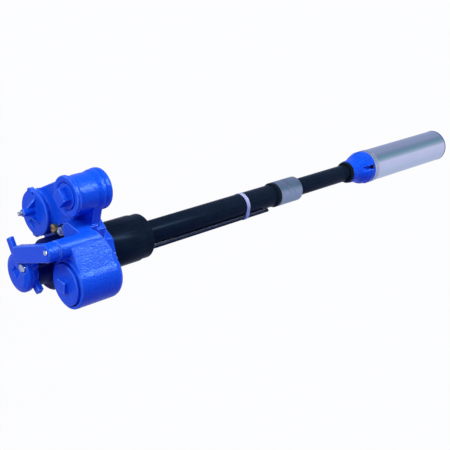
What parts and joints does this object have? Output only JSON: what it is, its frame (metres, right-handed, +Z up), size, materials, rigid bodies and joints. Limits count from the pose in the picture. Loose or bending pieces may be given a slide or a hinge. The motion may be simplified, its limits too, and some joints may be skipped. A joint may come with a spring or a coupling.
{
  "type": "submersible fuel pump",
  "caption": "Submersible turbine fuel pump with a manifold head, wiring box, check valve, telescoping pipe column and a steel motor and pump unit at its lower end.",
  "frame": {"origin": "on the column axis, in the middle of the lower thread of the four inch riser nipple, where the pump screws into the tank's riser", "axes": "+Z up along the column, from the motor to the manifold; +X towards the wiring box and the outlet branch; +Y towards the outlet branch side"},
  "size_m": [0.2695, 0.286, 1.562],
  "materials": {
    "blue_casting": "gloss blue enamel over cast iron",
    "packer_casting": "gloss blue enamel over cast iron",
    "motor_head_casting": "dark blue enamel over cast iron",
    "black_pipe": "black coated steel pipe",
    "coupling_steel": "grey coated steel",
    "strap_plastic": "pale plastic band",
    "zinc_steel": "bright zinc",
    "dark_screw": "black oxide",
    "brass": "turned brass",
    "seal_rubber": "matt black",
    "connector_plastic": "moulded, matt",
    "cable_rubber": "matt black sheath",
    "lead_rubber": "red insulation",
    "polished_steel": "polished stainless tube",
    "spring_steel": "bright spring wire",
    "bearing_carbon": "carbon bushing",
    "motor_iron": "laminated iron",
    "bracket_iron": "machined casting",
    "stage_plastic": "moulded acetal",
    "diffuser_plastic": "moulded, matt",
    "light_ring": "machined ring",
    "collar_steel": "black coated steel",
    "screen_steel": "perforated sheet",
    "conduit_steel": "drawn tube"
  },
  "bodies": {
    "head_and_column": {"manifold_body": "blue_casting", "riser_nipple": "black_pipe", "wiring_box_seal": "seal_rubber", "outlet_plug": "blue_casting", "check_valve_cover": "blue_casting", "check_valve_cover_seal": "seal_rubber", "check_valve_spring": "spring_steel", "check_valve_seat": "brass", "packer_studs": "zinc_steel", "packer_nuts": "zinc_steel", "packer_washers": "zinc_steel", "packer_body": "packer_casting", "packer_upper_seal": "seal_rubber", "packer_lower_seal": "seal_rubber", "tower_cap": "blue_casting", "conduit_socket": "connector_plastic", "yoke": "blue_casting", "conduit_plug": "connector_plastic", "yoke_bolt": "zinc_steel", "yoke_screw": "zinc_steel", "yoke_leads": "lead_rubber", "column_pipe": "black_pipe", "upper_conduit": "conduit_steel", "return_tube": "black_pipe", "siphon_tube": "black_pipe", "tube_strap": "strap_plastic", "column_end_ring": "collar_steel", "collet_body": "coupling_steel", "collet": "spring_steel", "inner_pipe_seal": "seal_rubber", "motor_cable": "cable_rubber"},
    "motor_unit": {"inner_pipe": "black_pipe", "lower_conduit": "conduit_steel", "pipe_collar": "collar_steel", "discharge_head": "blue_casting", "head_screws": "dark_screw", "clamp_ring": "light_ring", "motor_plug": "connector_plastic", "motor_shell": "polished_steel", "upper_bearing_bracket": "bracket_iron", "upper_bearing": "bearing_carbon", "stator": "motor_iron", "lower_bearing_bracket": "bracket_iron", "lower_bearing": "bearing_carbon", "diffusers": "diffuser_plastic", "inlet_end": "motor_head_casting", "inlet_screen": "screen_steel"},
    "motor_rotor": {"rotor": "motor_iron", "shaft": "polished_steel", "thrust_bearing": "bearing_carbon", "impellers": "stage_plastic"},
    "coupling_nut": {"collet_nut": "coupling_steel"},
    "check_valve": {"check_valve_poppet": "brass"},
    "lockdown": {"lockdown_screw": "zinc_steel"},
    "purge": {"purge_screw": "brass"},
    "box_cap": {"wiring_box_cap": "blue_casting"}
  },
  "joints": [
    {"name": "column_length", "type": "slide", "parent": "head_and_column", "child": "motor_unit", "axis": [0, 0, -1], "range_m": [-0.2, 0.25], "deforming": ["motor_cable"]},
    {"name": "motor_spin", "type": "hinge", "parent": "motor_unit", "child": "motor_rotor", "pos_m": [0, 0, -0.995], "axis": [0, 0, -1], "continuous": true},
    {"name": "coupling_nut_turn", "type": "hinge", "parent": "head_and_column", "child": "coupling_nut", "pos_m": [0, 0, -0.531], "axis": [0, 0, -1], "range_deg": [0, 720]},
    {"name": "check_valve_lift", "type": "slide", "parent": "head_and_column", "child": "check_valve", "axis": [0, 0, 1], "range_m": [0, 0.012], "stiffness_N_per_m": 500, "springref_m": -0.012, "deforming": ["check_valve_spring"]},
    {"name": "lockdown_screw_travel", "type": "slide", "parent": "head_and_column", "child": "lockdown", "axis": [0, 0, -1], "range_m": [0, 0.017]},
    {"name": "purge_screw_turn", "type": "hinge", "parent": "head_and_column", "child": "purge", "pos_m": [0.029, 0.0785, 0.225], "axis": [0, 0, 1], "range_deg": [0, 1080]},
    {"name": "wiring_box_cap_turn", "type": "hinge", "parent": "head_and_column", "child": "box_cap", "pos_m": [0.132, -0.03, 0.288], "axis": [0, 0, 1], "range_deg": [0, 1440]}
  ]
}
